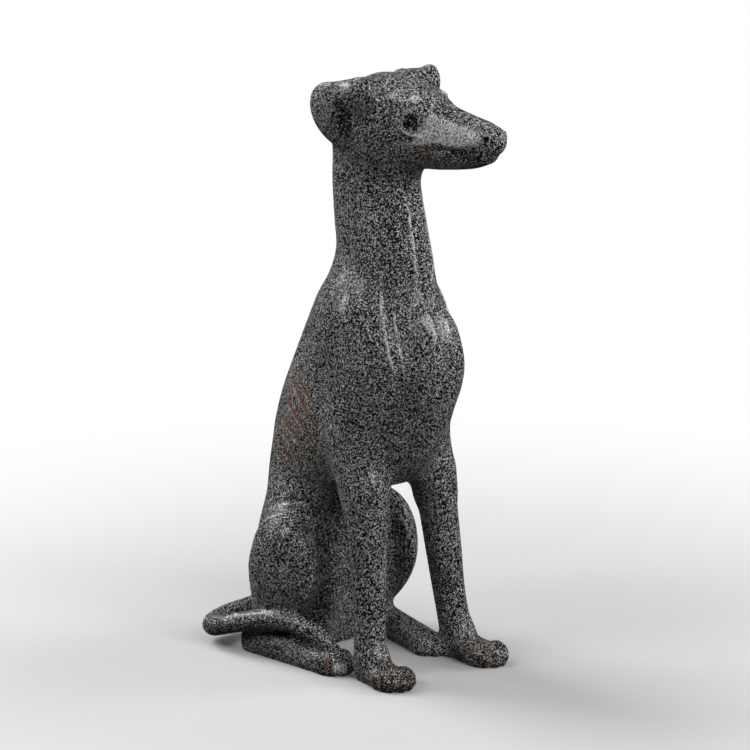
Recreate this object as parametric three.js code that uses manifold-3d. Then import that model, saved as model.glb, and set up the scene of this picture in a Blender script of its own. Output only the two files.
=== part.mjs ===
// A seated greyhound, cast in one piece, with its tail swept round and laid along the right hind foot.
// Millimetres, +Z up. The animal faces -Y and +X is its left side. The ground is z = 0.
// The body is drawn as a smooth field of overlapping muscles, which is then skinned with triangles,
// thinned out where it is plain, and cut flat where it stands on the ground.
import * as THREE from "three";
import { mergeVertices } from "three/addons/utils/BufferGeometryUtils.js";
import { SimplifyModifier } from "three/addons/modifiers/SimplifyModifier.js";
import Module from "manifold-3d";

// Driving dimensions
const TOP = 765; // top of the ears
const MIDPLANE_X = 9; // the animal's plane of symmetry, from the middle of its box
const MIDDLE_Y = -21.2; // the drawing's y = 0, from the middle of its box
const CELL = 6.5; // the skinning grid
const SKIN_LOW = [-160, -225]; // the grid's corners in x and y
const SKIN_HIGH = [150, 265];
const TRIANGLES = 9600;
const SOLE_DEPTH = 12; // the feet are drawn this far into the ground, and cut off
const TAKEN_IN = 0.3; // how far inside a sample is put, where the skin would pinch without it
const GROUND = [600, 800, 100]; // the block that cuts the soles flat

// Trunk and neck in level slices, from inside the skull down to the seat:
// z, y of the back, y of the front, half width
const TRUNK = [
  [722, 76, -32, 38],
  [700, 84, -34, 42],
  [660, 92, -35, 44],
  [620, 94, -36, 45],
  [571, 89, -46, 48],
  [534, 85, -55, 50],
  [500, 96, -61, 55],
  [468, 117, -72, 62],
  [429, 137, -92, 68],
  [403, 150, -104, 71],
  [376, 163, -103, 73],
  [334, 182, -90, 75],
  [292, 195.5, -71, 75],
  [262, 202, -51, 72],
  [240, 207, -25, 68],
  [224, 209, 13, 64],
  [190, 211, 50, 62],
  [150, 213, 64, 63],
  [100, 213, 74, 64],
  [50, 210, 85, 62],
  [14, 205, 94, 60],
  [-30, 196, 102, 58],
];

// Skull, from the nape to the brow: y, z, half width, half height
const SKULL = [
  [46, 707, 36, 35],
  [24, 711, 45, 47],
  [-8, 714, 47, 48],
  [-40, 712, 41, 45],
  [-60, 709, 36, 38],
];
// Upper jaw, from between the eyes to the nose
const MUZZLE = [
  [-50, 708, 37, 38],
  [-80, 704, 32, 36],
  [-105, 702, 28, 32],
  [-140, 701, 24, 27],
  [-166, 702, 19, 23],
  [-180, 703, 15, 18],
];
// Lower jaw, from the throat to the chin
const JAW = [
  [10, 690, 34, 34],
  [-35, 681, 30, 31],
  [-75, 677, 23, 26],
  [-110, 675, 19, 19],
  [-145, 677, 15, 14],
  [-168, 683, 12, 11],
];

// Limbs, as x, y, z, half width, half depth. One list serves both sides, and x is the left side's.
const UPPER_ARM = [
  [50, -22, 425, 18, 34],
  [56, -14, 385, 24, 40],
  [60, 0, 335, 27, 38],
  [62, 4, 290, 28, 35],
  [62, -6, 250, 27, 32],
  [61, -14, 215, 24, 28],
];
const FOREARM = [
  [60, -12, 240, 25, 30],
  [62.5, -20, 190, 23.5, 26],
  [66, -26, 140, 23, 23],
  [69, -31, 95, 21, 21],
  [73, -36, 55, 20, 21],
  [76, -42, 30, 22, 24],
];
const THIGH = { centre: [87, 107, 119.5], half: [34, 53.5, 70.5] };
const SHANK = [
  [84, 116, 104, 28, 42],
  [84, 123, 67, 27, 39],
  [86, 130, 40, 24, 33],
  [88, 134, 12, 22, 28],
];

// Feet: heel and toes on the ground, half width and height at the heel and at the toes
const FEET = [
  { heel: [-77, -42], toes: [-80, -85], narrow: 20, wide: 26, high: 30, low: 22 },
  { heel: [75, -48], toes: [75, -94], narrow: 20, wide: 26, high: 30, low: 24 },
  { heel: [-97, 151], toes: [-91, 13], narrow: 20, wide: 23, high: 39, low: 25 },
  { heel: [90, 140], toes: [56, -12], narrow: 20, wide: 24, high: 34, low: 22 },
];
const TOES = 4;
const TOE_REACH = 13; // how far the middle toes reach past the toe line
const TOE_CURVE = 9; // how far the outer toes stay behind them
const TOE_ROW = 0.72; // the row of toes, as a share of the foot's width
const TOE_HALF = [0.33, 0.8, 0.62]; // a toe's half axes, as shares of the foot's width, width and height
const TOE_HEIGHT = 0.45; // its middle, as a share of the foot's height
const TOE_SPLAY = 10; // how far the outer toes turn out, in degrees

// Tail, from the rump round to the right and forward over the right hind foot: x, y, z, radius
const TAIL = [
  [-6, 190, 42, 20],
  [-42, 214, 31, 15],
  [-80, 224, 26, 13.5],
  [-108, 220, 23, 13],
  [-125, 202, 25, 13],
  [-127, 174, 34, 13],
  [-121, 145, 43, 13],
  [-115, 112, 51, 13],
  [-108, 80, 54, 12.5],
  [-99, 46, 48, 12],
  [-96, 28, 39, 11.5],
  [-93, 12, 27, 11],
  [-90, -4, 15, 10],
];

// Ear: a root on the skull, a fold that stands up beside it, and the flap behind, laid back against the neck
const EAR_ROOT = { centre: [40, 12, 740], half: [24, 24, 20] };
const EAR_FOLD = { centre: [55, -5, 740], half: [11.5, 19, 26], lean: 15 };
const EAR_TOP = { centre: [54, 26, 738], half: [12, 24, 16], lean: 8 };
const EAR_FLAP = { centre: [58, 48, 715], half: [12, 33.5, 37.5], turn: -8, lean: 12 };
const BROW = { centre: [26, -51, 734], half: [11, 14, 9] };
const CHEEK = { centre: [26, -8, 692], half: [18, 40, 32] };
const SHOULDER = { centre: [50, 22, 430], half: [24, 52, 62] };
const BREAST = { centre: [15, -76, 413], half: [20, 22, 52] };
const HAUNCH = { centre: [50, 124, 98], half: [40, 62, 112] };
// The flat side of the muzzle: the corner of it by the eye, the way it faces, and the way its rear edge faces
const FLAT_SIDE = { corner: [23, -90, 728], outward: [0.982, -0.097, 0.159], rear: [0, 0.84, 0.542] };

// How wide the forms run into each other
const BLEND = { body: 36, limb: 22, small: 12, fine: 6, crisp: 4 };

// A smooth minimum: two forms run into each other over about the blend's width
function meld(a, b, blend) {
  const near = Math.max(blend - Math.abs(a - b), 0) / blend;
  return Math.min(a, b) - near * near * blend * 0.25;
}

// A curve through the stations, cut into short steps
function densify(stations, steps = 6) {
  const at = (i) => stations[Math.min(Math.max(i, 0), stations.length - 1)];
  const dense = [];
  for (let i = 0; i < stations.length - 1; i++)
    for (let s = 0; s < steps; s++) {
      const t = s / steps;
      const row = stations[i].map((b, k) => {
        const [a, c, d] = [at(i - 1)[k], at(i + 1)[k], at(i + 2)[k]];
        const bend = 2 * a - 5 * b + 4 * c - d;
        const twist = 3 * b - a - 3 * c + d;
        return 0.5 * (2 * b + (c - a) * t + bend * t ** 2 + twist * t ** 3);
      });
      dense.push(row);
    }
  dense.push(stations[stations.length - 1].slice());
  return dense;
}

// Signed distance, roughly, to an ellipsoid with half axes a, b and c, from a point in its own axes
function ellipsoid(u, v, w, a, b, c) {
  const inner = Math.hypot(u / a, v / b, w / c);
  const slope = Math.hypot(u / (a * a), v / (b * b), w / (c * c));
  return slope > 1e-9 ? (inner * (inner - 1)) / slope : -Math.min(a, b, c);
}

// A form swept along stations of x, y, z, half width and half depth; the width lies along x
function sweep(stations, steps) {
  const dense = densify(stations, steps);
  const links = dense.slice(1).map((to, i) => {
    const from = dense[i];
    const run = [to[0] - from[0], to[1] - from[1], to[2] - from[2]];
    const length = Math.hypot(...run);
    const along = run.map((c) => c / length);
    // The width's direction is x, squared up to the run, and the depth's is across both
    const wide = [1 - along[0] * along[0], -along[0] * along[1], -along[0] * along[2]];
    const size = Math.hypot(...wide);
    const across = wide.map((c) => c / size);
    const deep = [
      along[1] * across[2] - along[2] * across[1],
      along[2] * across[0] - along[0] * across[2],
      along[0] * across[1] - along[1] * across[0],
    ];
    return { from, to, length, along, across, deep };
  });
  return (x, y, z) => {
    let best = Infinity;
    let found = null;
    for (const link of links) {
      const { from, along, length } = link;
      const d0 = x - from[0];
      const d1 = y - from[1];
      const d2 = z - from[2];
      const t = Math.min(Math.max(d0 * along[0] + d1 * along[1] + d2 * along[2], 0), length);
      const gap = (d0 - along[0] * t) ** 2 + (d1 - along[1] * t) ** 2 + (d2 - along[2] * t) ** 2;
      if (gap < best) {
        best = gap;
        found = { link, t, d0, d1, d2 };
      }
    }
    const { link, t, d0, d1, d2 } = found;
    const { from, to, length, along, across, deep } = link;
    const share = t / length;
    const a = from[3] + (to[3] - from[3]) * share;
    const b = from[4] + (to[4] - from[4]) * share;
    const [e0, e1, e2] = [d0 - along[0] * t, d1 - along[1] * t, d2 - along[2] * t];
    const u = e0 * across[0] + e1 * across[1] + e2 * across[2];
    const v = e0 * deep[0] + e1 * deep[1] + e2 * deep[2];
    const w = e0 * along[0] + e1 * along[1] + e2 * along[2];
    return ellipsoid(u, v, w, a, b, Math.min(a, b));
  };
}

// A form in level slices, each an ellipse about the midplane: z, y of the back, y of the front, half width
function stack(slices) {
  const rows = slices.map(([z, back, front, wide]) => [z, (back + front) / 2, (back - front) / 2, wide]);
  const dense = densify(rows);
  return (x, y, z) => {
    let i = 0;
    while (i < dense.length - 2 && dense[i + 1][0] > z) i++;
    const [upper, lower] = [dense[i], dense[i + 1]];
    const drop = upper[0] - lower[0];
    const t = THREE.MathUtils.clamp((upper[0] - z) / drop, 0, 1);
    const [, middle, deep, wide] = upper.map((c, k) => c + (lower[k] - c) * t);
    const [, middleSlope, deepSlope, wideSlope] = upper.map((c, k) => (c - lower[k]) / drop);
    const v = y - middle;
    const inner = Math.hypot(x / wide, v / deep) + 1e-9;
    const bulge = (v * v * deepSlope) / deep ** 3 + (x * x * wideSlope) / wide ** 3;
    const lean = (v * middleSlope) / deep ** 2 + bulge;
    const slope = Math.hypot(x / wide ** 2, v / deep ** 2, lean) / inner;
    return Math.max((inner - 1) / slope, z - dense[0][0]);
  };
}

const onMidplane = (rows) => rows.map(([y, z, wide, deep]) => [0, y, z, wide, deep]);
const round = (rows) => rows.map(([x, y, z, r]) => [x, y, z, r, r]);

// An egg-shaped muscle, turned about z and then leant about y, in degrees
function egg({ centre, half, turn = 0, lean = 0 }) {
  const [a, b] = [turn, lean].map(THREE.MathUtils.degToRad);
  const [ct, st, cl, sl] = [Math.cos(a), Math.sin(a), Math.cos(b), Math.sin(b)];
  return (x, y, z) => {
    const [dx, dy, dz] = [x - centre[0], y - centre[1], z - centre[2]];
    const [px, py] = [dx * ct + dy * st, dy * ct - dx * st];
    return ellipsoid(px * cl - dz * sl, py, px * sl + dz * cl, ...half);
  };
}

// A foot: a wedge that widens and lowers from the heel to the toes, and the toes in a shallow arc
function foot({ heel, toes, narrow, wide, high, low }) {
  const mix = (a, b, t) => a + (b - a) * t;
  const rows = [0, 0.35, 0.7, 1].map((t) => {
    const [x, y] = [mix(heel[0], toes[0], t), mix(heel[1], toes[1], t)];
    const height = mix(high, low, t);
    return [x, y, height * 0.35, mix(narrow, wide, t), height * 0.75];
  });
  const wedge = sweep(rows, 3);
  const heading = Math.atan2(toes[1] - heel[1], toes[0] - heel[0]);
  const turn = THREE.MathUtils.radToDeg(heading) + 90;
  const digits = Array.from({ length: TOES }, (_, i) => {
    const spread = (2 * i) / (TOES - 1) - 1;
    const forward = TOE_REACH - TOE_CURVE * spread * spread;
    const aside = spread * wide * TOE_ROW;
    const x = toes[0] + Math.cos(heading) * forward - Math.sin(heading) * aside;
    const y = toes[1] + Math.sin(heading) * forward + Math.cos(heading) * aside;
    const half = [wide * TOE_HALF[0], wide * TOE_HALF[1], low * TOE_HALF[2]];
    return egg({ centre: [x, y, low * TOE_HEIGHT], half, turn: turn - spread * TOE_SPLAY });
  });
  return (x, y, z) => {
    let form = wedge(x, y, z);
    for (const digit of digits) form = meld(form, digit(x, y, z), BLEND.fine / 2);
    return form;
  };
}

const trunk = stack(TRUNK);
const skull = sweep(onMidplane(SKULL));
const muzzle = sweep(onMidplane(MUZZLE));
const jaw = sweep(onMidplane(JAW));
const upperArm = sweep(UPPER_ARM);
const forearm = sweep(FOREARM);
const thigh = egg(THIGH);
const shank = sweep(SHANK);
const tail = sweep(round(TAIL));
const feet = FEET.map(foot);
const ears = [EAR_ROOT, EAR_FOLD, EAR_TOP, EAR_FLAP].map(egg);
const brow = egg(BROW);
const cheek = egg(CHEEK);
const shoulder = egg(SHOULDER);
const breast = egg(BREAST);
const haunch = egg(HAUNCH);

// Everything that is cut from the muzzle's side: what lies beyond its plane and ahead of its rear edge
function besideMuzzle(x, y, z) {
  const from = [x, y, z].map((c, i) => c - FLAT_SIDE.corner[i]);
  const reach = (way) => from[0] * way[0] + from[1] * way[1] + from[2] * way[2];
  return Math.max(-reach(FLAT_SIDE.outward), reach(FLAT_SIDE.rear));
}

function wholeHead(side, y, z) {
  let head = meld(skull(side, y, z), muzzle(side, y, z), BLEND.small);
  head = meld(head, jaw(side, y, z), BLEND.small);
  head = meld(head, cheek(side, y, z), BLEND.limb);
  head = meld(head, brow(side, y, z), BLEND.small);
  for (const form of ears) head = meld(head, form(side, y, z), BLEND.small);
  // Cutting is joining turned inside out
  return -meld(-head, besideMuzzle(side, y, z), BLEND.crisp);
}

// The whole animal: below zero inside, above zero outside, and near the skin about the distance to it
function animal(px, py, pz) {
  const side = Math.abs(px);
  let body = trunk(side, py, pz);
  body = meld(body, shoulder(side, py, pz), BLEND.body);
  body = meld(body, breast(side, py, pz), BLEND.limb);
  body = meld(body, haunch(side, py, pz), BLEND.body);
  body = meld(body, wholeHead(side, py, pz), BLEND.body);
  const arm = meld(upperArm(side, py, pz), forearm(side, py, pz), BLEND.small);
  body = meld(body, arm, BLEND.limb);
  body = meld(body, meld(thigh(side, py, pz), shank(side, py, pz), BLEND.limb), BLEND.small);
  for (const one of feet) body = meld(body, one(px, py, pz), BLEND.small);
  body = meld(body, tail(px, py, pz), BLEND.fine);
  return Math.max(body, -SOLE_DEPTH - pz);
}

// Where a square of samples is checkered, the skin would pinch to a line, so an outer corner of it is taken in
function unpinch(values, [nx, ny, nz], index) {
  const steps = [index(1, 0, 0), index(0, 1, 0), index(0, 0, 1)];
  let pinched = true;
  while (pinched) {
    pinched = false;
    for (let k = 0; k < nz - 1; k++)
      for (let j = 0; j < ny - 1; j++)
        for (let i = 0; i < nx - 1; i++)
          for (let axis = 0; axis < 3; axis++) {
            const [u, v] = [steps[(axis + 1) % 3], steps[(axis + 2) % 3]];
            const here = index(i, j, k);
            const [a, b, c, d] = [here, here + u, here + u + v, here + v];
            const inside = [a, b, c, d].map((at) => values[at] < 0);
            if (inside[0] !== inside[2] || inside[1] !== inside[3] || inside[0] === inside[1]) continue;
            const [p, q] = inside[0] ? [b, d] : [a, c];
            values[values[p] < values[q] ? p : q] = -TAKEN_IN;
            pinched = true;
          }
  }
}

// Skins the field: a vertex in each grid cell that the surface crosses, a square over each crossed grid edge
function skin(field, low, high, cell) {
  const count = low.map((c, i) => Math.ceil((high[i] - c) / cell) + 1);
  const [nx, ny, nz] = count;
  const values = new Float32Array(nx * ny * nz);
  const index = (i, j, k) => (k * ny + j) * nx + i;
  const at = (i, axis) => low[axis] + i * cell;
  for (let k = 0; k < nz; k++)
    for (let j = 0; j < ny; j++)
      for (let i = 0; i < nx; i++) values[index(i, j, k)] = field(at(i, 0), at(j, 1), at(k, 2));
  unpinch(values, count, index);
  const vertexOf = new Map();
  const points = [];
  const corners = [0, 1, 2, 3, 4, 5, 6, 7].map((c) => [c & 1, (c >> 1) & 1, (c >> 2) & 1]);
  const edges = [];
  for (let a = 0; a < 8; a++) for (const bit of [1, 2, 4]) if (!(a & bit)) edges.push([a, a | bit]);
  for (let k = 0; k < nz - 1; k++)
    for (let j = 0; j < ny - 1; j++)
      for (let i = 0; i < nx - 1; i++) {
        const value = corners.map(([a, b, c]) => values[index(i + a, j + b, k + c)]);
        const sum = [0, 0, 0];
        let crossings = 0;
        for (const [a, b] of edges) {
          if (value[a] < 0 === value[b] < 0) continue;
          const t = value[a] / (value[a] - value[b]);
          for (let axis = 0; axis < 3; axis++)
            sum[axis] += corners[a][axis] + (corners[b][axis] - corners[a][axis]) * t;
          crossings++;
        }
        if (!crossings) continue;
        vertexOf.set(index(i, j, k), points.length / 3);
        [i, j, k].forEach((c, axis) => points.push(at(c + sum[axis] / crossings, axis)));
      }
  const faces = [];
  const step = [
    [1, 0, 0],
    [0, 1, 0],
    [0, 0, 1],
  ];
  for (let k = 1; k < nz - 1; k++)
    for (let j = 1; j < ny - 1; j++)
      for (let i = 1; i < nx - 1; i++) {
        const here = values[index(i, j, k)] < 0;
        for (let axis = 0; axis < 3; axis++) {
          const [a, b, c] = step[axis];
          if (here === values[index(i + a, j + b, k + c)] < 0) continue;
          const u = step[(axis + 1) % 3];
          const v = step[(axis + 2) % 3];
          const q = [
            [0, 0],
            [1, 0],
            [1, 1],
            [0, 1],
          ].map(([s, t]) =>
            vertexOf.get(index(i - s * u[0] - t * v[0], j - s * u[1] - t * v[1], k - s * u[2] - t * v[2])),
          );
          const [p, r, s, t] = here ? q : q.reverse();
          faces.push(p, r, s, p, s, t);
        }
      }
  return { points, faces };
}

// Moves each vertex along the field's slope until it lies on the surface
function settle(points, field, rounds = 3) {
  const reach = 0.5;
  for (let i = 0; i < points.length; i += 3)
    for (let n = 0; n < rounds; n++) {
      const [x, y, z] = points.slice(i, i + 3);
      const value = field(x, y, z);
      const slope = [
        (field(x + reach, y, z) - field(x - reach, y, z)) / (2 * reach),
        (field(x, y + reach, z) - field(x, y - reach, z)) / (2 * reach),
        (field(x, y, z + reach) - field(x, y, z - reach)) / (2 * reach),
      ];
      const steep = Math.max(slope[0] ** 2 + slope[1] ** 2 + slope[2] ** 2, 0.05);
      const move = THREE.MathUtils.clamp(value / steep, -CELL / 2, CELL / 2);
      for (let axis = 0; axis < 3; axis++) points[i + axis] -= move * slope[axis];
    }
}

function asGeometry(points, faces) {
  return new THREE.BufferGeometry()
    .setAttribute("position", new THREE.BufferAttribute(new Float32Array(points), 3))
    .setIndex(faces);
}

const wasm = await Module();
wasm.setup();

function asSolid(geometry) {
  const bare = geometry.clone();
  for (const name of Object.keys(bare.attributes)) if (name !== "position") bare.deleteAttribute(name);
  const merged = mergeVertices(bare, 1e-4);
  return new wasm.Manifold(
    new wasm.Mesh({
      numProp: 3,
      vertProperties: new Float32Array(merged.attributes.position.array),
      triVerts: new Uint32Array(merged.index.array),
    }),
  );
}

// The cast skin, cut flat at the ground and thinned out where it is plain
async function casting() {
  const low = [...SKIN_LOW, -SOLE_DEPTH - 2 * CELL];
  const high = [...SKIN_HIGH, TOP + 2 * CELL];
  const { points, faces } = skin(animal, low, high, CELL);
  settle(points, animal);
  const ground = new THREE.BoxGeometry(...GROUND).translate(0, 0, -GROUND[2] / 2);
  const cut = asSolid(asGeometry(points, faces)).subtract(asSolid(ground)).getMesh();
  const corners = new THREE.BufferAttribute(new Uint32Array(cut.triVerts), 1);
  const standing = asGeometry(cut.vertProperties, corners);
  standing.computeVertexNormals();
  const share = 1 - TRIANGLES / (cut.triVerts.length / 3);
  return new SimplifyModifier().modify(standing, Math.round(standing.attributes.position.count * share));
}

const finish = new THREE.MeshStandardMaterial({ color: 0x2c2c2b, roughness: 0.42, metalness: 0.55 });
const greyhound = new THREE.Mesh(await casting(), finish);
greyhound.name = "greyhound";
greyhound.position.set(MIDPLANE_X, MIDDLE_Y, 0);

const sculpture = new THREE.Group();
sculpture.add(greyhound);

export default sculpture;
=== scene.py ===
"""Finishes a seated greyhound cast in one piece: its modelled surface, its speckled paint, and a pale studio.

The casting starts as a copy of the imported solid, remeshed finely and drawn onto the same smooth field of
muscles that the solid was skinned from. The eyes, mouth, nostrils, ears, cords, ribs, creases and the grooves
between the toes are then modelled on it. Form tables are in millimetres in the animal's own drawing, whose
midplane is x = 0, and everything else is in metres.
"""

import math
from concurrent.futures import ThreadPoolExecutor

import bmesh
import bpy
import numpy as np
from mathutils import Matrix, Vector


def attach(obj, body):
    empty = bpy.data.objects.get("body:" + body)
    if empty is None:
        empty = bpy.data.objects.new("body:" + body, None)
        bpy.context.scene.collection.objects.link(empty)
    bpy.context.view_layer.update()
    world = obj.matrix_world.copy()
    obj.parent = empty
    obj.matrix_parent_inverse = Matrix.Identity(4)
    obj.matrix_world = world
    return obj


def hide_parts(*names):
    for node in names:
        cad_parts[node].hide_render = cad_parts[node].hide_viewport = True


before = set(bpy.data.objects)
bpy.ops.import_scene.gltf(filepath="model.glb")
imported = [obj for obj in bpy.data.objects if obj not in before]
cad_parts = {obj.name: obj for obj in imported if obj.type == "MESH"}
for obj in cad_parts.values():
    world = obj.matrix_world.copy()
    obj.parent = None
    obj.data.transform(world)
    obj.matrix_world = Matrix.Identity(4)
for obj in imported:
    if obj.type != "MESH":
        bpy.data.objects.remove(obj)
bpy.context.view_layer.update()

bl_info = {
    "name": "Seated greyhound casting",
    "version": (1, 0, 0),
    "blender": (4, 5, 0),
    "location": "View3D > Sidebar > Greyhound",
    "description": "Models and paints a seated greyhound casting and lights it in a pale studio",
    "category": "Object",
}

NODE = "greyhound"
BODY = "root"
MM = 0.001

# Where the drawing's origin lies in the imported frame
DRAWING_ORIGIN = np.array([9.0, -21.2, 0.0])
FAR = 1000.0  # a field's value where its form isn't worked out
EDGE = 42.0  # how far round a form its field is worked out
THREADS = 4
SHARES_EACH = 4  # how many shares of the points each thread takes

# Trunk and neck in level slices: z, y of the back, y of the front, half width
TRUNK = [
    (722, 76, -32, 38), (700, 84, -34, 42), (660, 92, -35, 44), (620, 94, -36, 45), (571, 89, -46, 48),
    (534, 85, -55, 50), (500, 96, -61, 55), (468, 117, -72, 62), (429, 137, -92, 68), (403, 150, -104, 71),
    (376, 163, -103, 73), (334, 182, -90, 75), (292, 195.5, -71, 75), (262, 202, -51, 72),
    (240, 207, -25, 68),
    (224, 209, 13, 64), (190, 211, 50, 62), (150, 213, 64, 63), (100, 213, 74, 64), (50, 210, 85, 62),
    (14, 205, 94, 60), (-30, 196, 102, 58),
]
# On the midplane: y, z, half width, half height
SKULL = [(46, 707, 36, 35), (24, 711, 45, 47), (-8, 714, 47, 48), (-40, 712, 41, 45), (-60, 709, 36, 38)]
MUZZLE = [
    (-50, 708, 37, 38), (-80, 704, 32, 36), (-105, 702, 28, 32), (-140, 701, 24, 27), (-166, 702, 19, 23),
    (-180, 703, 15, 18),
]
JAW = [
    (10, 690, 34, 34), (-35, 681, 30, 31), (-75, 677, 23, 26), (-110, 675, 19, 19), (-145, 677, 15, 14),
    (-168, 683, 12, 11),
]
# Limbs: x, y, z, half width, half depth
UPPER_ARM = [
    (50, -22, 425, 18, 34), (56, -14, 385, 24, 40), (60, 0, 335, 27, 38), (62, 4, 290, 28, 35),
    (62, -6, 250, 27, 32), (61, -14, 215, 24, 28),
]
FOREARM = [
    (60, -12, 240, 25, 30), (62.5, -20, 190, 23.5, 26), (66, -26, 140, 23, 23), (69, -31, 95, 21, 21),
    (73, -36, 55, 20, 21), (76, -42, 30, 22, 24),
]
SHANK = [(84, 116, 104, 28, 42), (84, 123, 67, 27, 39), (86, 130, 40, 24, 33), (88, 134, 12, 22, 28)]
# Tail: x, y, z, radius
TAIL = [
    (-6, 190, 42, 20), (-42, 214, 31, 15), (-80, 224, 26, 13.5), (-108, 220, 23, 13), (-125, 202, 25, 13),
    (-127, 174, 34, 13), (-121, 145, 43, 13), (-115, 112, 51, 13), (-108, 80, 54, 12.5), (-99, 46, 48, 12),
    (-96, 28, 39, 11.5), (-93, 12, 27, 11), (-90, -4, 15, 10),
]
# Feet: heel and toes on the ground, half width and height at the heel and at the toes
FEET = [
    {"heel": (-77, -42), "toes": (-80, -85), "narrow": 20, "wide": 26, "high": 30, "low": 22},
    {"heel": (75, -48), "toes": (75, -94), "narrow": 20, "wide": 26, "high": 30, "low": 24},
    {"heel": (-97, 151), "toes": (-91, 13), "narrow": 20, "wide": 23, "high": 39, "low": 25},
    {"heel": (90, 140), "toes": (56, -12), "narrow": 20, "wide": 24, "high": 34, "low": 22},
]
TOES = 4
TOE_REACH = 13  # how far the middle toes reach past the toe line
TOE_CURVE = 9  # how far the outer toes stay behind them
TOE_ROW = 0.72  # the row of toes, as a share of the foot's width, and each toe's half axes and height
TOE_HALF = (0.33, 0.8, 0.62)
TOE_HEIGHT = 0.45
TOE_SPLAY = 10
# Muscles: centre, half axes, then turn about z and lean about y in degrees
EGGS = {
    "thigh": ((87, 107, 119.5), (34, 53.5, 70.5), 0, 0),
    "ear_root": ((40, 12, 740), (24, 24, 20), 0, 0),
    "ear_fold": ((55, -5, 740), (11.5, 19, 26), 0, 15),
    "ear_top": ((54, 26, 738), (12, 24, 16), 0, 8),
    "ear_flap": ((58, 48, 715), (12, 33.5, 37.5), -8, 12),
    "brow": ((26, -51, 734), (11, 14, 9), 0, 0),
    "cheek": ((26, -8, 692), (18, 40, 32), 0, 0),
    "shoulder": ((50, 22, 430), (24, 52, 62), 0, 0),
    "breast": ((15, -76, 413), (20, 22, 52), 0, 0),
    "haunch": ((50, 124, 98), (40, 62, 112), 0, 0),
}
BLEND = {"body": 36.0, "limb": 22.0, "small": 12.0, "fine": 6.0, "crisp": 4.0}
# The flat side of the muzzle: a point on its top edge by the eye, the way it faces, and the way its rear
# edge faces
FLAT_CORNER = np.array([23.0, -90.0, 728.0])
FLAT_OUTWARD = np.array([0.982, -0.097, 0.159])
FLAT_REAR = np.array([0.0, 0.84, 0.542])
HEAD_FLOOR = 650.0  # the head lies above this height


def meld(a, b, blend):
    """A smooth minimum of two fields: the forms run into each other over about the blend's width."""
    near = np.maximum(blend - np.abs(a - b), 0) / blend
    return np.minimum(a, b) - near * near * blend * 0.25


def carve(a, tool, blend):
    """A smooth maximum of the form and the outside of a cutting tool."""
    return -meld(-a, tool, blend)


def densify(stations, steps=6):
    """A Catmull-Rom curve through the stations, cut into short steps."""
    rows = np.array(stations, float)
    padded = np.vstack([rows[:1], rows, rows[-1:]])
    t = (np.arange(steps) / steps)[:, None]
    dense = [
        0.5 * (2 * b + (c - a) * t + (2 * a - 5 * b + 4 * c - d) * t**2 + (3 * b - a - 3 * c + d) * t**3)
        for a, b, c, d in zip(padded[:-3], padded[1:-2], padded[2:-1], padded[3:])
    ]
    return np.vstack([*dense, rows[-1:]])


def within(form, low, high):
    """The form's field, worked out only near its own box and far away everywhere else."""
    low, high = np.array(low) - EDGE, np.array(high) + EDGE

    def field(p):
        value = np.full(len(p), FAR)
        near = np.all((p > low) & (p < high), axis=1)
        if near.any():
            value[near] = form(p[near])
        return value

    return field


def ellipsoid(u, half):
    """Roughly the signed distance to an ellipsoid, from points in its own axes."""
    inner = np.sqrt(((u / half) ** 2).sum(axis=1))
    slope = np.sqrt(((u / half**2) ** 2).sum(axis=1)) + 1e-9
    return inner * (inner - 1) / slope


def sweep(stations, steps=6):
    """A form swept along stations of x, y, z, half width and half depth. The width lies along x."""
    dense = densify(stations, steps)
    links = []
    for start, end in zip(dense[:-1], dense[1:]):
        run = end[:3] - start[:3]
        length = np.linalg.norm(run)
        along = run / length
        across = np.array([1.0, 0, 0]) - along[0] * along
        across /= np.linalg.norm(across)
        links.append((start, end, length, np.array([across, np.cross(along, across), along])))

    def form(p):
        best = np.full(len(p), np.inf)
        value = np.zeros(len(p))
        for start, end, length, axes in links:
            q = p - start[:3]
            t = np.clip(q @ axes[2], 0, length)
            off = q - t[:, None] * axes[2]
            gap = (off**2).sum(axis=1)
            closer = gap < best
            if not closer.any():
                continue
            best[closer] = gap[closer]
            share = (t[closer] / length)[:, None]
            size = start[3:5] + (end[3:5] - start[3:5]) * share
            half = np.column_stack([size, size.min(axis=1)])
            value[closer] = ellipsoid(off[closer] @ axes.T, half)
        return value

    reach = dense[:, 3:5].max()
    return within(form, dense[:, :3].min(axis=0) - reach, dense[:, :3].max(axis=0) + reach)


def stack(slices):
    """A form in level slices from the top down, each an ellipse about the midplane."""
    rows = [(z, (back + front) / 2, (back - front) / 2, wide) for z, back, front, wide in slices]
    dense = densify(rows)
    tops = -dense[:, 0]

    def form(p):
        z = np.clip(p[:, 2], dense[-1, 0], dense[0, 0])
        i = np.clip(np.searchsorted(tops, -z, side="right") - 1, 0, len(dense) - 2)
        upper, lower = dense[i], dense[i + 1]
        drop = upper[:, 0] - lower[:, 0]
        t = ((upper[:, 0] - z) / drop)[:, None]
        _, middle, deep, wide = (upper + (lower - upper) * t).T
        _, middle_slope, deep_slope, wide_slope = ((upper - lower) / drop[:, None]).T
        x, v = p[:, 0], p[:, 1] - middle
        inner = np.hypot(x / wide, v / deep) + 1e-9
        lean = v * middle_slope / deep**2 + v * v * deep_slope / deep**3 + x * x * wide_slope / wide**3
        slope = np.sqrt((x / wide**2) ** 2 + (v / deep**2) ** 2 + lean**2) / inner
        return np.maximum((inner - 1) / slope, p[:, 2] - dense[0, 0])

    return form


def turning(turn, lean):
    """The rows are an egg's own axes, turned about z and then leant about y, in degrees."""
    ct, st = math.cos(math.radians(turn)), math.sin(math.radians(turn))
    cl, sl = math.cos(math.radians(lean)), math.sin(math.radians(lean))
    return np.array([[ct * cl, st * cl, -sl], [-st, ct, 0], [ct * sl, st * sl, cl]])


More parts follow.
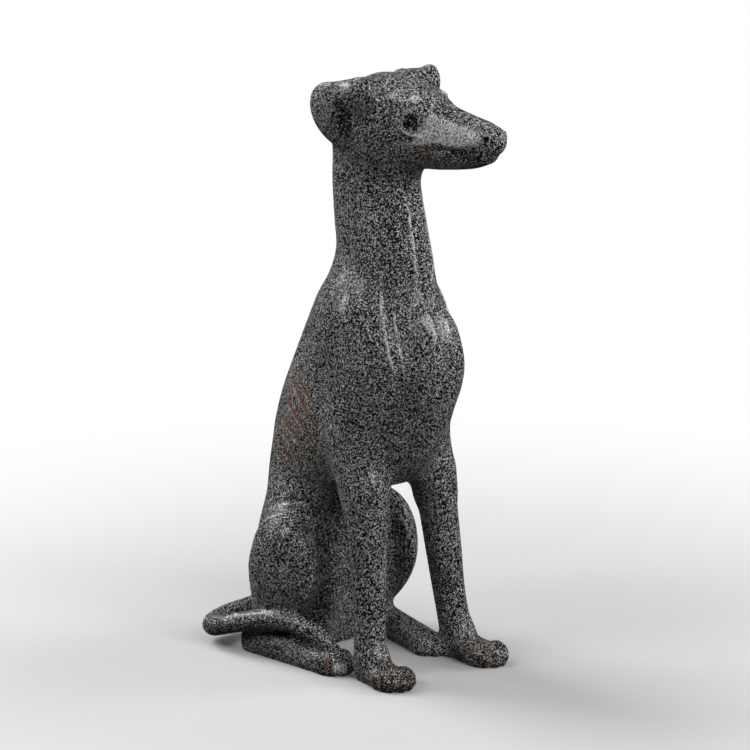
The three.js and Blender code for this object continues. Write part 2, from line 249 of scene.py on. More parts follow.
def egg(centre, half, turn=0, lean=0):
    """An egg-shaped muscle."""
    centre, half, axes = np.array(centre, float), np.array(half, float), turning(turn, lean)
    reach = half.max()
    return within(lambda p: ellipsoid((p - centre) @ axes.T, half), centre - reach, centre + reach)


def foot(heel, toes, narrow, wide, high, low):
    """A foot: a wedge that widens and lowers from heel to toes, with the toes in a shallow arc."""
    rows = []
    for t in (0, 0.35, 0.7, 1):
        height = high + (low - high) * t
        x, y = (a + (b - a) * t for a, b in zip(heel, toes))
        rows.append((x, y, height * 0.35, narrow + (wide - narrow) * t, height * 0.75))
    wedge = sweep(rows, 3)
    heading = math.atan2(toes[1] - heel[1], toes[0] - heel[0])
    ahead = np.array([math.cos(heading), math.sin(heading)])
    aside = np.array([-ahead[1], ahead[0]])
    digits = []
    for i in range(TOES):
        spread = 2 * i / (TOES - 1) - 1
        forward = TOE_REACH - TOE_CURVE * spread**2
        x, y = np.array(toes) + ahead * forward + aside * spread * wide * TOE_ROW
        half = (wide * TOE_HALF[0], wide * TOE_HALF[1], low * TOE_HALF[2])
        digits.append(egg((x, y, low * TOE_HEIGHT), half, math.degrees(heading) + 90 - spread * TOE_SPLAY))

    def form(p):
        value = wedge(p)
        for digit in digits:
            value = meld(value, digit(p), BLEND["fine"] / 2)
        return value

    return form


def on_midplane(rows):
    return [(0, *row) for row in rows]


class Animal:
    """The whole animal as one field: below zero inside, above it outside, and near the skin the distance."""

    def __init__(self):
        self.trunk = stack(TRUNK)
        self.skull = sweep(on_midplane(SKULL))
        self.muzzle = sweep(on_midplane(MUZZLE))
        self.jaw = sweep(on_midplane(JAW))
        self.upper_arm = sweep(UPPER_ARM)
        self.forearm = sweep(FOREARM)
        self.shank = sweep(SHANK)
        self.tail = sweep([(x, y, z, r, r) for x, y, z, r in TAIL])
        self.feet = [foot(**sizes) for sizes in FEET]
        self.eggs = {name: egg(*sizes) for name, sizes in EGGS.items()}

    def head(self, side):
        value = meld(self.skull(side), self.muzzle(side), BLEND["small"])
        value = meld(value, self.jaw(side), BLEND["small"])
        value = meld(value, self.eggs["cheek"](side), BLEND["limb"])
        for name in ("brow", "ear_root", "ear_fold", "ear_top", "ear_flap"):
            value = meld(value, self.eggs[name](side), BLEND["small"])
        beyond = side - FLAT_CORNER
        return carve(value, np.maximum(-beyond @ FLAT_OUTWARD, beyond @ FLAT_REAR), BLEND["crisp"])

    def field(self, p):
        side = np.column_stack([np.abs(p[:, 0]), p[:, 1:]])
        value = self.trunk(side)
        for name, blend in (("shoulder", "body"), ("breast", "limb"), ("haunch", "body")):
            value = meld(value, self.eggs[name](side), BLEND[blend])
        value = meld(value, self.head(side), BLEND["body"])
        arm = meld(self.upper_arm(side), self.forearm(side), BLEND["small"])
        value = meld(value, arm, BLEND["limb"])
        leg = meld(self.eggs["thigh"](side), self.shank(side), BLEND["limb"])
        value = meld(value, leg, BLEND["small"])
        for one in self.feet:
            value = meld(value, one(p), BLEND["small"])
        value = meld(value, self.tail(p), BLEND["fine"])
        return np.maximum(value, -p[:, 2])

    def slope(self, p, reach=0.4):
        """The field's value and slope, from four samples at the corners of a small tetrahedron."""
        corners = np.array([[1, 1, 1], [1, -1, -1], [-1, 1, -1], [-1, -1, 1]], float)
        values = [self.field(p + corner * reach) for corner in corners]
        slope = sum(v[:, None] * corner for v, corner in zip(values, corners)) / (4 * reach)
        return sum(values) / 4, slope

    def settled(self, p, reach=5.0):
        """The points moved along the field's slope onto its surface."""
        value, slope = self.slope(p)
        steep = np.maximum((slope**2).sum(axis=1), 0.05)
        for _ in range(2):
            p = p - slope * np.clip(value / steep, -reach, reach)[:, None]
            value = self.field(p)
        return p - slope * (value / steep)[:, None]


# Lines modelled on the skin: which side, width and height in mm (a groove's height is negative), and x, y, z
# points. A line on both sides gives the left one.
LINES = {
    "neck_cord_right": ("right", 4, 2.0, [
        (-10, -36, 612), (-11, -41, 583), (-11, -47, 559), (-12, -52, 538), (-12, -55, 519), (-12, -58, 503),
    ]),
    "neck_cord_left": ("left", 4, 2.0, [
        (8, -38, 640), (16, -35, 603), (18, -42, 569), (19, -48, 541), (18, -53, 519), (6, -61, 497),
        (-6, -67, 481),
    ]),
    "breast_groove": ("right", 7, -4.6, [
        (-1, -63, 494), (-3, -67, 480), (-6, -79, 466), (-8, -92, 451), (-6, -99, 429), (-4, -104, 412),
        (-3, -105, 385),
    ]),
    "breast_edge_right": ("right", 8, 2.6, [
        (-10, -68, 482), (-19, -82, 464), (-21, -91, 451), (-18, -98, 430),
    ]),
    "breast_edge_left": ("left", 8, 2.4, [(4, -74, 474), (3, -88, 451), (5, -97, 436), (9, -102, 418)]),
    "shoulder_cord": ("both", 3.8, 2.6, [
        (46, -27, 502), (48, -30, 491), (51, -33, 480), (54, -40, 460), (59, -51, 437), (60, -58, 416),
        (56, -64, 398), (52, -67, 383),
    ]),
    "inner_cord": ("both", 3.2, 1.5, [
        (42, -43, 479), (43, -47, 469), (45, -52, 453), (49, -62, 432), (49, -70, 408), (47, -76, 388),
    ]),
    "rib_1": ("both", 6, -2.4, [
        (50, 130, 366), (59, 122, 352), (67, 104, 341), (72, 88, 329), (75, 72, 316),
    ]),
    "rib_2": ("both", 5, -1.9, [(62, 104, 362), (69, 91, 350), (73, 76, 342), (75, 61, 334)]),
    "rib_3": ("both", 5, -1.9, [
        (52, 142, 340), (60, 132, 327), (67, 114, 318), (72, 96, 308), (74, 80, 298),
    ]),
    "rib_4": ("both", 6, -2.4, [
        (53, 154, 312), (59, 144, 303), (67, 124, 295), (72, 104, 287), (73, 87, 278),
    ]),
    "rib_5": ("both", 6, -2.4, [
        (50, 163, 295), (56, 155, 285), (63, 140, 271), (66, 127, 257), (68, 114, 243),
    ]),
    "rib_6": ("both", 5, -1.9, [(50, 166, 268), (57, 157, 256), (63, 144, 243), (66, 132, 232)]),
    "elbow_crease": ("both", 7, -1.4, [
        (75, 62, 409), (75, 61, 380), (75, 57, 351), (79, 42, 341), (84, 27, 337),
    ]),
    "arm_crease": ("both", 7, -1.6, [(84, 27, 337), (87, 18, 318), (89, 9, 290), (90, -6, 258)]),
    "thigh_edge": ("both", 5, 1.6, [
        (107, 140, 158), (102, 130, 175), (100, 115, 184), (91, 102, 189), (74, 96, 188), (68, 84, 180),
    ]),
    "thigh_rim": ("both", 5, 1.2, [
        (72, 83, 179), (76, 67, 162), (81, 57, 141), (88, 54, 118), (93, 57, 96), (94, 66, 75),
    ]),
    "thigh_groove": ("both", 9, -3.0, [
        (62, 77, 186), (67, 62, 168), (73, 50, 143), (80, 46, 118), (86, 48, 96), (90, 55, 72),
    ]),
    "belly_fold": ("both", 6, 1.8, [
        (74, 152, 178), (78, 141, 184), (77, 117, 194), (70, 97, 198), (61, 82, 195),
    ]),
    "lower_lid": ("both", 3.4, 2.2, [
        (41, -52, 708), (40, -57, 704), (37, -66, 700), (31, -74, 697), (28, -88, 696),
    ]),
    "upper_lid": ("both", 3.4, 1.8, [
        (41, -53, 710), (39, -58, 716), (36, -62, 725), (32, -70, 731), (27, -80, 730),
    ]),
    "brow_line": ("both", 5, 1.5, [
        (42, -30, 741), (38, -46, 740), (36, -60, 739), (25, -69, 742), (20, -82, 737),
    ]),
    "mouth": ("both", 4.5, -2.0, [
        (34, -54, 680), (29, -66, 680), (26, -85, 681), (23, -109, 683), (21, -133, 685), (18, -156, 687),
        (15, -175, 689), (9, -188, 691),
    ]),
    "ear_valley": ("both", 8, -3.2, [(60, 24, 741), (63, 22, 722), (62, 22, 702), (57, 21, 685)]),
    "right_toe_groove_1": ("right", 5, -1.8, [
        (-95, -71, 22), (-103, -84, 20), (-106, -91, 17), (-106, -96, 7),
    ]),
    "right_toe_groove_2": ("right", 5, -1.8, [
        (-75, -74, 27), (-84, -90, 25), (-90, -105, 21), (-92, -113, 8),
    ]),
    "left_toe_groove_1": ("left", 5, -1.8, [(53, -74, 17), (50, -84, 15), (47, -94, 12), (49, -103, 4)]),
    "left_toe_groove_2": ("left", 5, -1.8, [(64, -84, 27), (64, -103, 24), (63, -118, 17), (66, -124, 7)]),
    "nostril_rim": ("both", 2.6, 1.8, [(15, -180, 700), (14, -186, 706), (12, -186, 711), (5, -188, 716)]),
}

# Bumps and dents: side, centre, radii in x, y and z, and height in mm
SPOTS = {
    "eye_socket": ("both", (36, -71, 714), (13, 14, 14), -6.5),
    "eyeball": ("both", (34, -71, 714), (8, 8, 8), 3.6),
    "brow_peak": ("both", (24, -68, 742), (9, 9, 7), 1.6),
    "shoulder_point": ("both", (73, 11, 476), (12, 9, 20), 2.4),
    "nostril": ("both", (15, -181, 705), (5, 4.5, 4.5), -3.2),
    "whisker_pad": ("both", (20, -158, 703), (6, 14, 8), 1.4),
    "lip_corner": ("both", (31, -63, 683), (6, 7, 3), 1.4),
}

# Where the paint is paler: side, centre, radii and strength. The tail's end is a pale mark on the casting.
# The others paint in highlights that the lights don't give, and stay put when the lights move.
PALE = {
    "brow": ("both", (24, -66, 741), (8, 9, 6), 0.9),
    "ear": ("both", (62, 60, 722), (20, 26, 36), 0.25),
    "shoulder": ("both", (74, 11, 476), (10, 8, 17), 0.7),
    "breast_right": ("right", (-18, -86, 455), (9, 18, 24), 0.7),
    "breast_left": ("left", (3, -88, 450), (8, 18, 24), 0.7),
    "lip_corner": ("both", (31, -63, 683), (6, 6, 3), 0.6),
    "tail_end": ("right", (-101, -11, 11), (10, 9, 10), 1.0),
}
# The flat sides of the muzzle are painted paler: a painted highlight on the flat facets
MUZZLE_HIGHLIGHT = 0.9
FLAT_DEPTH = 2.2  # how far from the flat side the paler paint ends
FLAT_FADE = 3.0  # over what length it sets in at the rear edge
# The modelled lines whose crests have a highlight painted in, and how strong it is
PALE_LINES = {
    "neck_cord_right": 1.0, "neck_cord_left": 0.8, "shoulder_cord": 1.0, "inner_cord": 0.7, "lower_lid": 1.0,
    "upper_lid": 0.4, "brow_line": 0.35, "nostril_rim": 1.0, "thigh_edge": 0.4, "thigh_rim": 0.5,
    "belly_fold": 0.5,
}
CREST_WIDTH = 0.85  # the painted crest's width, as a share of the line's
# Where shade is painted in, with less of the silver: side, centre, radii and strength
DARK = {
    "eye": ("both", (37, -70, 714), (13, 12, 12), 0.65),
    "ear_valley": ("both", (62, 22, 712), (14, 12, 40), 0.5),
    "nostril": ("both", (15, -181, 705), (5, 5, 5), 1.0),
    "right_paw": ("right", (-85, -92, 14), (30, 42, 26), 0.3),
    "chin": ("both", (14, -150, 682), (16, 40, 8), 0.35),
}
# Where the paint is tinged with brown: side, centre, radii and strength
BROWN = {
    "right_paw": ("right", (-85, -92, 14), (30, 42, 26), 0.1),
    "left_paw": ("left", (68, -98, 14), (30, 42, 26), 0.09),
    "hind_toes": ("right", (-111, 3, 16), (5, 5, 14), 0.55),
    "flank": ("both", (66, 118, 305), (30, 70, 80), 0.13),
    "jaw": ("both", (24, -80, 670), (16, 60, 18), 0.12),
}

RIB_PAINT_WIDTH = 0.75  # the brown line's width, as a share of the rib groove's
TAPER = 0.22  # the share of a line's length over which each end fades
SIDE_REACH = 30  # how far past the midplane a one-sided line or spot may reach
SPOT_EDGE = 2  # how steeply a painted spot fades at its edge


def on_side(points, side):
    """The points that a line or spot on that side can reach, mirrored left for both, and their rows."""
    if side == "both":
        return np.column_stack([np.abs(points[:, 0]), points[:, 1:]]), np.arange(len(points))
    rows = np.flatnonzero(points[:, 0] * (1 if side == "left" else -1) > -SIDE_REACH)
    return points[rows], rows


def line_profile(points, width, path):
    """How near each point is to a line on the skin: 1 on it, 0 at its width away and at its two ends."""
    dense = densify(path, 4)
    steps = np.linalg.norm(np.diff(dense, axis=0), axis=1)
    reached = np.concatenate([[0], np.cumsum(steps)])
    low, high = dense.min(axis=0) - width, dense.max(axis=0) + width
    rows = np.flatnonzero(np.all((points > low) & (points < high), axis=1))
    near = points[rows]
    best = np.full(len(near), np.inf)
    where = np.zeros(len(near))
    for start, end, step, before in zip(dense[:-1], dense[1:], steps, reached):
        run = (end - start) / step
        t = np.clip((near - start) @ run, 0, step)
        gap = np.linalg.norm(near - start - t[:, None] * run, axis=1)
        closer = gap < best
        best[closer] = gap[closer]
        where[closer] = before + t[closer]
    share = where / reached[-1]
    taper = np.clip(np.minimum(share, 1 - share) / TAPER, 0, 1)
    taper = taper * taper * (3 - 2 * taper)
    profile = np.zeros(len(points))
    profile[rows] = np.clip(1 - (best / width) ** 2, 0, 1) ** 2 * taper
    return profile


def modelled_height(points):
    """How far the lines and spots stand out of the skin or sink into it, at each point, in mm."""
    height = np.zeros(len(points))
    for side, width, rise, path in LINES.values():
        flat, rows = on_side(points, side)
        height[rows] += rise * line_profile(flat, width, path)
    for side, centre, radii, rise in SPOTS.values():
        flat, rows = on_side(points, side)
        height[rows] += rise * spot_profile(flat, centre, radii) ** 2
    return height


def spot_profile(points, centre, radii):
    """How near each point is to a spot's middle: 1 there, 0 at its edge."""
    reach = (((points - np.array(centre)) / np.array(radii)) ** 2).sum(axis=1)
    return np.clip(1 - reach, 0, 1)


def spots_over(points, spots):
    """The strongest of the spots at each point, each flat in its middle and fading to its edge."""
    paint = np.zeros(len(points))
    for side, centre, radii, strength in spots.values():
        flat, rows = on_side(points, side)
        cover = np.minimum(spot_profile(flat, centre, radii) * SPOT_EDGE, 1)
        paint[rows] = np.maximum(paint[rows], strength * cover)
    return paint


def painted_light_and_pale_mark(points):
    """Where highlights are painted in, with more of the silver, and where shade is painted in, below zero
    with less; the tail's end is a real pale mark.
    """
    side = np.column_stack([np.abs(points[:, 0]), points[:, 1:]]) - FLAT_CORNER
    flatness = np.clip(FLAT_DEPTH - np.abs(side @ FLAT_OUTWARD), 0, 1)
    flatness *= np.clip(-side @ FLAT_REAR / FLAT_FADE, 0, 1)
    flatness[points[:, 2] < HEAD_FLOOR] = 0
    paint = np.maximum(spots_over(points, PALE), flatness * MUZZLE_HIGHLIGHT)
    for name, strength in PALE_LINES.items():
        side, width, _, path = LINES[name]
        flat, rows = on_side(points, side)
        paint[rows] = np.maximum(paint[rows], strength * line_profile(flat, width * CREST_WIDTH, path))
    return paint - spots_over(points, DARK)


def brown_paint(points):
    """Where the paint is brown: in the rib grooves, and as a tinge on the paws, flank and jaw."""
    paint = spots_over(points, BROWN)
    for name, (side, width, _, path) in LINES.items():
        if name.startswith("rib"):
            flat, rows = on_side(points, side)
            paint[rows] = np.maximum(paint[rows], line_profile(flat, width * RIB_PAINT_WIDTH, path))
    return paint


def mesh_points(mesh):
    co = np.empty(len(mesh.vertices) * 3, np.float32)
    mesh.vertices.foreach_get("co", co)
    return co.reshape(-1, 3).astype(float)


def set_points(mesh, points):
    mesh.vertices.foreach_set("co", points.astype(np.float32).ravel())
    mesh.update()


def to_drawing(points):
    return points / MM - DRAWING_ORIGIN


def to_frame(points):
    return (points + DRAWING_ORIGIN) * MM


def evaluated_mesh(piece):
    """The piece's mesh with its modifiers applied."""
    depsgraph = bpy.context.evaluated_depsgraph_get()
    depsgraph.update()
    mesh = bpy.data.meshes.new_from_object(piece.evaluated_get(depsgraph))
    piece.modifiers.clear()
    return mesh


def merged_copy(node, name):
    """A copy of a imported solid's mesh, with its loose triangles merged."""
    mesh = node.data.copy()
    mesh.materials.clear()
    bm = bmesh.new()
    bm.from_mesh(mesh)
    bmesh.ops.remove_doubles(bm, verts=bm.verts, dist=0.01 * MM)
    bmesh.ops.recalc_face_normals(bm, faces=bm.faces)
    bm.to_mesh(mesh)
    bm.free()
    piece = bpy.data.objects.new(name, mesh)
    bpy.context.scene.collection.objects.link(piece)
    return piece


def remesh(piece, voxel):
    skin = piece.modifiers.new("Skin", "REMESH")
    skin.mode = "VOXEL"
    skin.voxel_size = voxel
    piece.data = evaluated_mesh(piece)


def thin_out(piece, triangles):
    """Collapses the plainest edges until the mesh has that many triangles."""
    count = sum(len(face.vertices) - 2 for face in piece.data.polygons)
    if count > triangles:
        thin = piece.modifiers.new("Thin", "DECIMATE")
        thin.ratio = triangles / count
        piece.data = evaluated_mesh(piece)


def in_shares(work, points):
    """Does the same work on the points in a few equal shares at once."""
    with ThreadPoolExecutor(THREADS) as pool:
        return np.vstack(list(pool.map(work, np.array_split(points, THREADS * SHARES_EACH))))


def outward_directions(mesh):
    """The direction out of the skin at each vertex."""
    normals = np.empty(len(mesh.vertices) * 3, np.float32)
    mesh.vertex_normals.foreach_get("vector", normals)
    return normals.reshape(-1, 3).astype(float)


class Shade:
    """A shader socket in an expression: arithmetic on it adds Math nodes to its material."""

    def __init__(self, paint, socket):
        self.paint, self.socket = paint, socket

    def __add__(self, other):
        return self.paint.math("ADD", self, other)

    __radd__ = __add__

    def __sub__(self, other):
        return self.paint.math("SUBTRACT", self, other)

    def __rsub__(self, other):
        return self.paint.math("SUBTRACT", other, self)

    def __mul__(self, other):
        return self.paint.math("MULTIPLY", self, other)

    __rmul__ = __mul__


class PaintNodes:
    """A material's nodes."""

    def __init__(self, name):
        self.material = bpy.data.materials.new(name)
        self.material.use_nodes = True
        self.tree = self.material.node_tree
        self.tree.nodes.clear()

    def node(self, kind, settings=None, sockets=None, output=0):
        """Adds a node: its settings first, then its sockets' values or links. Gives one of its outputs."""
        node = self.tree.nodes.new(kind)
        for name, value in (settings or {}).items():
            if name == "stops":
                elements = node.color_ramp.elements
                while len(elements) < len(value):
                    elements.new(1.0)
                for element, (place, level) in zip(elements, value):
                    element.position = place
                    element.color = (level, level, level, 1.0)
            else:
                setattr(node, name, value)
        for name, value in (sockets or {}).items():
            if isinstance(value, Shade):
                self.tree.links.new(value.socket, node.inputs[name])
            else:
                node.inputs[name].default_value = value
        return Shade(self, node.outputs[output]) if node.outputs else node

    def math(self, operation, *values):
        return self.node("ShaderNodeMath", {"operation": operation}, dict(enumerate(values)))

    def mix(self, share, low, high):
        """A colour from low to high as the share goes from 0 to 1."""
        settings = {"data_type": "RGBA", "clamp_factor": True}
        sockets = {0: share, 6: low, 7: high}
        return self.node("ShaderNodeMix", settings, sockets, output=2)

    def noise(self, place, scale, detail):
        sockets = {"Vector": place, "Scale": scale, "Detail": detail}
        return self.node("ShaderNodeTexNoise", {"noise_dimensions": "3D"}, sockets)

    def ramp(self, share, *stops):
        return self.node("ShaderNodeValToRGB", {"stops": stops}, {0: share})

    def object_place(self):
        return self.node("ShaderNodeTexCoord", output=3)

    def surface(self, shader):
        self.node("ShaderNodeOutputMaterial", sockets={"Surface": shader})
        return self.material


def colour(*channels):
    return (*channels, 1.0)


# The speckle: how much finer and coarser its other two grains are than the main one, how much each part and
# the painted highlights, painted shade and pale tail mark move the edge of the flecks, and the flecks'
# strength along that
FINER, COARSER = 1.9, 2.3
FINE_SHARE, COARSE_SHARE, DRIFT_SHARE, PALE_SHARE = 0.45, 0.4, 0.1, 0.2
FLECK_STOPS = ((0.54, 0.0), (0.6, 0.22), (0.66, 1.0))
DRIFT_SCALE = 14.0
# The brown's strength, and how much the grain breaks it up
BROWN_BASE, BROWN_GRAIN = 0.45, 0.9
ROUGHER_FLECKS, ROUGHNESS_DRIFT = 0.1, 0.1
BUMP_STRENGTH, BUMP_HEIGHT, BUMP_FINE = 0.16, 0.25 * MM, 0.4


def speckled_paint(settings):
    """Gloss black paint on a fine sandy skin, speckled with silver grey, with brown in the rib grooves."""
    paint = PaintNodes("speckled_paint")
    place = paint.object_place()
    grains = 1.0 / settings.fleck_size
    grain = paint.noise(place, grains, 0.0)
    fine_grain = paint.noise(place, grains * FINER, 0.0)
    coarse_grain = paint.noise(place, grains / COARSER, 0.0)
    drift = paint.noise(place, DRIFT_SCALE, 2.0)
    # The pale attribute brings in the painted highlights and painted shade, and the tail's real pale mark
    pale = paint.node("ShaderNodeAttribute", {"attribute_name": "pale"}, output=2)
    brown = paint.node("ShaderNodeAttribute", {"attribute_name": "brown"}, output=2)
    cover = grain + (fine_grain - 0.5) * FINE_SHARE - (coarse_grain - 0.5) * COARSE_SHARE
    cover = cover + (drift - 0.5) * DRIFT_SHARE + pale * PALE_SHARE
    flecks = paint.ramp(cover, *FLECK_STOPS)
    base = paint.mix(flecks, colour(*settings.ground), colour(*settings.flecks))
    browned = paint.mix(brown * (BROWN_BASE + grain * BROWN_GRAIN), base, colour(*settings.brown))
    roughness = settings.roughness + flecks * ROUGHER_FLECKS + (drift - 0.5) * ROUGHNESS_DRIFT
    bump = paint.node(
        "ShaderNodeBump",
        sockets={
            "Strength": BUMP_STRENGTH,
            "Distance": BUMP_HEIGHT,
            "Height": grain + fine_grain * BUMP_FINE,
        },
    )
    shader = paint.node(
        "ShaderNodeBsdfPrincipled",
        sockets={
            "Base Color": browned,
            "Roughness": roughness,
            "Specular IOR Level": settings.gloss,
            "Normal": bump,
        },
    )
    return paint.surface(shader)


# Where the floor starts to fade to white round the sculpture, and where it has
FLOOR_FADE = (0.3, 1.25)


def pale_floor(settings):
    """A pale matt floor, a little darker under the sculpture than far away."""
    paint = PaintNodes("pale_floor")
    place = paint.object_place()
    distance = paint.node("ShaderNodeVectorMath", {"operation": "LENGTH"}, {0: place}, output=1)
    far = paint.node(
        "ShaderNodeMapRange",
        {"interpolation_type": "SMOOTHSTEP"},
        {"Value": distance, "From Min": FLOOR_FADE[0], "From Max": FLOOR_FADE[1]},
    )
    matt = paint.node(
        "ShaderNodeBsdfDiffuse",
        sockets={"Color": paint.mix(far, colour(*settings.floor_near), colour(*settings.floor_far))},
    )
    glow = paint.node("ShaderNodeEmission", sockets={"Color": colour(1, 1, 1), "Strength": 1.0})
    fading = paint.node("ShaderNodeMixShader", sockets={0: far * settings.glow, 1: matt, 2: glow})
    return paint.surface(fading)


def direction(azimuth, rise):
    """The way out towards an azimuth and rise in degrees. Azimuth 0 is straight ahead of the animal."""
    a, e = math.radians(azimuth), math.radians(rise)
    return Vector((math.sin(a) * math.cos(e), -math.cos(a) * math.cos(e), math.sin(e)))


def facing(name, data, middle, azimuth, rise, distance):
    """Puts a light or a camera at that distance from a point, facing it."""
    stand = bpy.data.objects.new(name, data)
    away = direction(azimuth, rise)
    stand.location = Vector(middle) + away * distance
    stand.rotation_euler = (-away).to_track_quat("-Z", "Y").to_euler()
    bpy.context.scene.collection.objects.link(stand)
    return stand


def studio_light(name, azimuth, rise, distance, size, power):
    """A soft square light that faces the sculpture."""
    light = bpy.data.lights.new(name, "AREA")
    light.shape = "SQUARE"
    light.size = size
    light.energy = power
    return facing(name, light, LIGHT_MIDDLE, azimuth, rise, distance)


def pale_room(strength):
    """A dim grey room, darker overhead than below the horizon."""
    world = bpy.data.worlds.new("pale_room")
    world.use_nodes = True
    tree = world.node_tree
    place = tree.nodes.new("ShaderNodeTexCoord")
    split = tree.nodes.new("ShaderNodeSeparateXYZ")
    fade = tree.nodes.new("ShaderNodeMapRange")
    fade.interpolation_type = "SMOOTHSTEP"
    for name, value in (("From Min", 0.15), ("From Max", -0.5), ("To Min", 0.3), ("To Max", 1.0)):
        fade.inputs[name].default_value = value
    sky = tree.nodes["Background"]
    sky.inputs["Strength"].default_value = strength
    tree.links.new(place.outputs["Generated"], split.inputs["Vector"])
    tree.links.new(split.outputs["Z"], fade.inputs["Value"])
    tree.links.new(fade.outputs["Result"], sky.inputs["Color"])
    return world


class GREYHOUND_PG_form(bpy.types.PropertyGroup):
    """Sizes of the casting's surface."""

    voxel: bpy.props.FloatProperty(
        name="Skin cell", description="Cell of the fine skin that the form is modelled on",
        default=0.0018, min=0.001, max=0.01, precision=4, unit="LENGTH",
    )
    triangles: bpy.props.IntProperty(
        name="Triangles", description="Triangles left once the plain areas are thinned out",
        default=192000, min=10000, max=198000,
    )
    relief: bpy.props.FloatProperty(
        name="Relief", description="How strongly the modelled lines stand out of the skin",
        default=1.0, min=0.0, max=2.0, subtype="FACTOR",
    )


class GREYHOUND_PG_paint(bpy.types.PropertyGroup):
    """Colours and gloss of the paint."""

    ground: bpy.props.FloatVectorProperty(
        name="Ground", description="Colour of the black paint between the flecks",
        default=(0.003, 0.003, 0.0029), size=3, min=0.0, max=1.0, subtype="COLOR",
    )
    flecks: bpy.props.FloatVectorProperty(
        name="Flecks", description="Colour of the silver-grey flecks",
        default=(0.85, 0.85, 0.83), size=3, min=0.0, max=1.0, subtype="COLOR",
    )
    brown: bpy.props.FloatVectorProperty(
        name="Brown", description="Colour of the paint gathered in the rib grooves",
        default=(0.24, 0.1, 0.05), size=3, min=0.0, max=1.0, subtype="COLOR",
    )
    fleck_size: bpy.props.FloatProperty(
        name="Fleck size", description="Size of the larger flecks",
        default=0.0013, min=0.0005, max=0.01, precision=5, unit="LENGTH",
    )
    roughness: bpy.props.FloatProperty(
        name="Roughness", description="Roughness of the black paint",
        default=0.24, min=0.0, max=1.0, subtype="FACTOR",
    )
    gloss: bpy.props.FloatProperty(
        name="Gloss", description="Strength of the reflections",
        default=0.3, min=0.0, max=1.0, subtype="FACTOR",
    )


class GREYHOUND_PG_studio(bpy.types.PropertyGroup):
    """The floor, the lights and the lens."""

    floor_near: bpy.props.FloatVectorProperty(
        name="Floor", description="Colour of the floor under the sculpture",
        default=(0.84, 0.84, 0.835), size=3, min=0.0, max=1.0, subtype="COLOR",
    )
    floor_far: bpy.props.FloatVectorProperty(
        name="Far floor", description="Colour of the floor far away",
        default=(0.9, 0.9, 0.9), size=3, min=0.0, max=1.0, subtype="COLOR",
    )
    floor_radius: bpy.props.FloatProperty(
        name="Floor radius", description="Radius of the round floor",
        default=14.0, min=1.0, max=50.0, unit="LENGTH",
    )
    backdrop: bpy.props.FloatProperty(
        name="Backdrop", description="Height of the plain white backdrop round the floor's rim",
        default=12.0, min=0.0, max=50.0, unit="LENGTH",
    )
    glow: bpy.props.FloatProperty(
        name="Far glow", description="How far the distant floor fades to plain white",
        default=1.0, min=0.0, max=1.0, subtype="FACTOR",
    )
    surroundings: bpy.props.FloatProperty(
        name="Surroundings", description="Brightness of the grey room around the sculpture",
        default=0.04, min=0.0, max=4.0,
    )
    lens: bpy.props.FloatProperty(
        name="Lens", description="Focal length of the camera on a 36 mm sensor",
        default=229.3, min=10.0, max=500.0, unit="CAMERA",
    )


class GREYHOUND_OT_casting(bpy.types.Operator):
    """Model the greyhound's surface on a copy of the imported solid, and paint it"""

    bl_idname = "greyhound.casting"
    bl_label = "Greyhound casting"

    def execute(self, context):
        form = context.scene.greyhound_form
        piece = merged_copy(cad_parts[NODE], "greyhound_casting")
        remesh(piece, form.voxel)
        points = in_shares(Animal().settled, to_drawing(mesh_points(piece.data)))
        set_points(piece.data, to_frame(points))
        outward = outward_directions(piece.data)
        height = modelled_height(points) * form.relief
        # The pale layer holds painted highlights and painted shade, and the tail's real pale mark
        paints = {"brown": brown_paint(points), "pale": painted_light_and_pale_mark(points)}
        points = points + outward * height[:, None]
        points[:, 2] = np.maximum(points[:, 2], 0.0)
        set_points(piece.data, to_frame(points))
        for name, values in paints.items():
            layer = piece.data.attributes.new(name, "FLOAT", "POINT")
            layer.data.foreach_set("value", values.astype(np.float32))
        thin_out(piece, form.triangles)
        piece.data.name = piece.name
        piece.data.materials.clear()
        piece.data.materials.append(speckled_paint(context.scene.greyhound_paint))
        piece.data.polygons.foreach_set("use_smooth", np.ones(len(piece.data.polygons), bool))
        piece.data.update()
        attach(piece, BODY)
        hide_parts(NODE)
        return {"FINISHED"}


class GREYHOUND_OT_studio(bpy.types.Operator):
    """Lay the pale floor and its backdrop, and set the soft lights and the camera"""

    bl_idname = "greyhound.studio"
    bl_label = "Greyhound studio"

    def execute(self, context):
        settings = context.scene.greyhound_studio
        mesh = bpy.data.meshes.new("studio_floor")
        bm = bmesh.new()
        bmesh.ops.create_circle(bm, cap_ends=True, segments=96, radius=settings.floor_radius)
        rim = bmesh.ops.extrude_edge_only(bm, edges=[edge for edge in bm.edges if edge.is_boundary])
        rim = [item for item in rim["geom"] if isinstance(item, bmesh.types.BMVert)]
        bmesh.ops.translate(bm, verts=rim, vec=(0.0, 0.0, settings.backdrop))
        bm.to_mesh(mesh)
        bm.free()
        floor = bpy.data.objects.new("studio_floor", mesh)
        context.scene.collection.objects.link(floor)
        mesh.materials.append(pale_floor(settings))
        # The floor is there to be stood on and seen, and its light doesn't reach the sculpture
        floor.visible_diffuse = False
        floor.visible_glossy = False
        context.scene.world = pale_room(settings.surroundings)
        for light in STUDIO_LIGHTS:
            studio_light(*light)
        lens = bpy.data.cameras.new("photo_camera")
        lens.lens = settings.lens
        lens.clip_end = 100.0
        context.scene.camera = facing("photo_camera", lens, *PHOTO_VIEW)
        context.scene.view_settings.view_transform = "Standard"
        return {"FINISHED"}


# The photograph's view: the point in its middle, the azimuth, the rise and the distance
PHOTO_VIEW = ((-0.021, -0.0212, 0.38), -43.5, 14.5, 6.0)

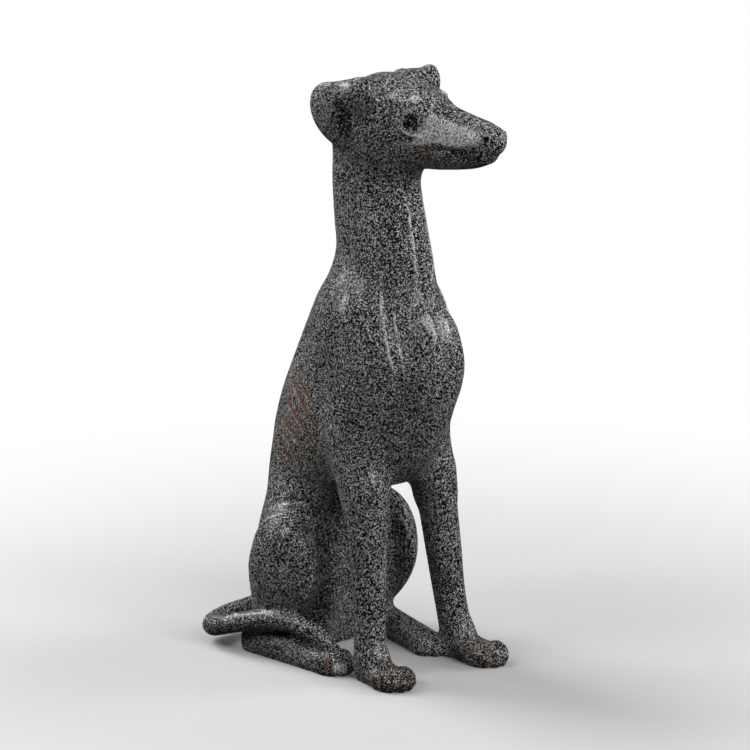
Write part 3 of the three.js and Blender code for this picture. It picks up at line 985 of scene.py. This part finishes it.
LIGHT_MIDDLE = (0.0, 0.0, 0.4)
# Name, azimuth, rise, distance, size and power
STUDIO_LIGHTS = [
    ("front_light", 4, 22, 3.2, 1.0, 27.0),
    ("high_front_light", -22, 36, 3.0, 1.0, 15.0),
    ("left_light", -104, 40, 3.0, 0.9, 15.0),
    ("rear_left_light", -145, 25, 3.0, 1.5, 12.0),
    ("right_light", 60, 25, 3.2, 1.5, 30.0),
    ("top_light", 0, 88, 3.0, 1.6, 6.0),
    ("back_light", -172, 38, 3.2, 1.6, 62.0),
]


class GREYHOUND_PT_panel(bpy.types.Panel):
    """The greyhound's settings and steps"""

    bl_label = "Greyhound"
    bl_idname = "GREYHOUND_PT_panel"
    bl_space_type = "VIEW_3D"
    bl_region_type = "UI"
    bl_category = "Greyhound"

    def draw(self, context):
        scene = context.scene
        for label, group, operator in (
            ("Form", scene.greyhound_form, "greyhound.casting"),
            ("Paint", scene.greyhound_paint, None),
            ("Studio", scene.greyhound_studio, "greyhound.studio"),
        ):
            box = self.layout.box()
            box.label(text=label)
            for name in group.__annotations__:
                box.prop(group, name)
            if operator:
                box.operator(operator)


CLASSES = (
    GREYHOUND_PG_form,
    GREYHOUND_PG_paint,
    GREYHOUND_PG_studio,
    GREYHOUND_OT_casting,
    GREYHOUND_OT_studio,
    GREYHOUND_PT_panel,
)


def register():
    for each in CLASSES:
        bpy.utils.register_class(each)
    bpy.types.Scene.greyhound_form = bpy.props.PointerProperty(type=GREYHOUND_PG_form)
    bpy.types.Scene.greyhound_paint = bpy.props.PointerProperty(type=GREYHOUND_PG_paint)
    bpy.types.Scene.greyhound_studio = bpy.props.PointerProperty(type=GREYHOUND_PG_studio)


def unregister():
    del bpy.types.Scene.greyhound_studio
    del bpy.types.Scene.greyhound_paint
    del bpy.types.Scene.greyhound_form
    for each in reversed(CLASSES):
        bpy.utils.unregister_class(each)


def main():
    register()
    bpy.ops.greyhound.casting()
    bpy.ops.greyhound.studio()


if __name__ == "__main__":
    main()
